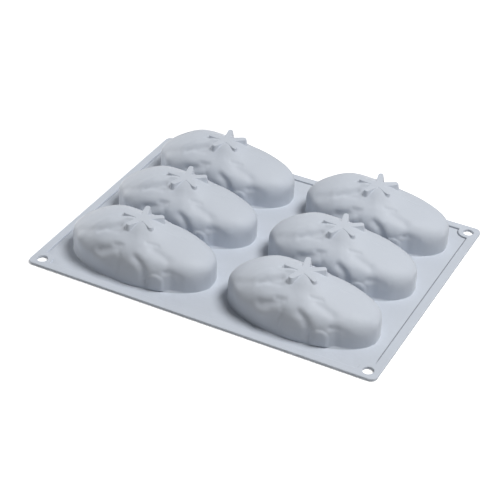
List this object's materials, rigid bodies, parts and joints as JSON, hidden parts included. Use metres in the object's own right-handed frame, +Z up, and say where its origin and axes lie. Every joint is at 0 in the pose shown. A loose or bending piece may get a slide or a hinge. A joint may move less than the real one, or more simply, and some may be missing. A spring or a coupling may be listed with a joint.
{
  "type": "silicone cake mould",
  "caption": "One-piece soft silicone cake mould: elongated lobed cups with a raised star on each, in a thin sheet with a thicker rim and holed corners, shown upside down.",
  "frame": {"origin": "centre of the flat underside, where the mould rests on the table with its mouths down", "axes": "+X along the long side towards the right-hand column of cups, +Y towards the back row, +Z up through the cups' stars"},
  "size_m": [0.299, 0.225, 0.0444],
  "materials": {
    "silicone": "matte"
  },
  "bodies": {
    "root": {"web_sheet_left": "silicone", "web_sheet_right": "silicone", "rim_front": "silicone", "rim_back": "silicone", "rim_left": "silicone", "rim_right": "silicone", "corner_pad_front_left": "silicone", "corner_pad_front_right": "silicone", "corner_pad_back_left": "silicone", "corner_pad_back_right": "silicone", "cup_wall_front_left": "silicone", "cup_wall_front_right": "silicone", "cup_wall_middle_left": "silicone", "cup_wall_middle_right": "silicone", "cup_wall_back_left": "silicone", "cup_wall_back_right": "silicone", "cup_crown_front_left": "silicone", "cup_crown_front_right": "silicone", "cup_crown_middle_left": "silicone", "cup_crown_middle_right": "silicone", "cup_crown_back_left": "silicone", "cup_crown_back_right": "silicone", "star_front_left": "silicone", "star_front_right": "silicone", "star_middle_left": "silicone", "star_middle_right": "silicone", "star_back_left": "silicone", "star_back_right": "silicone"}
  },
  "joints": []
}
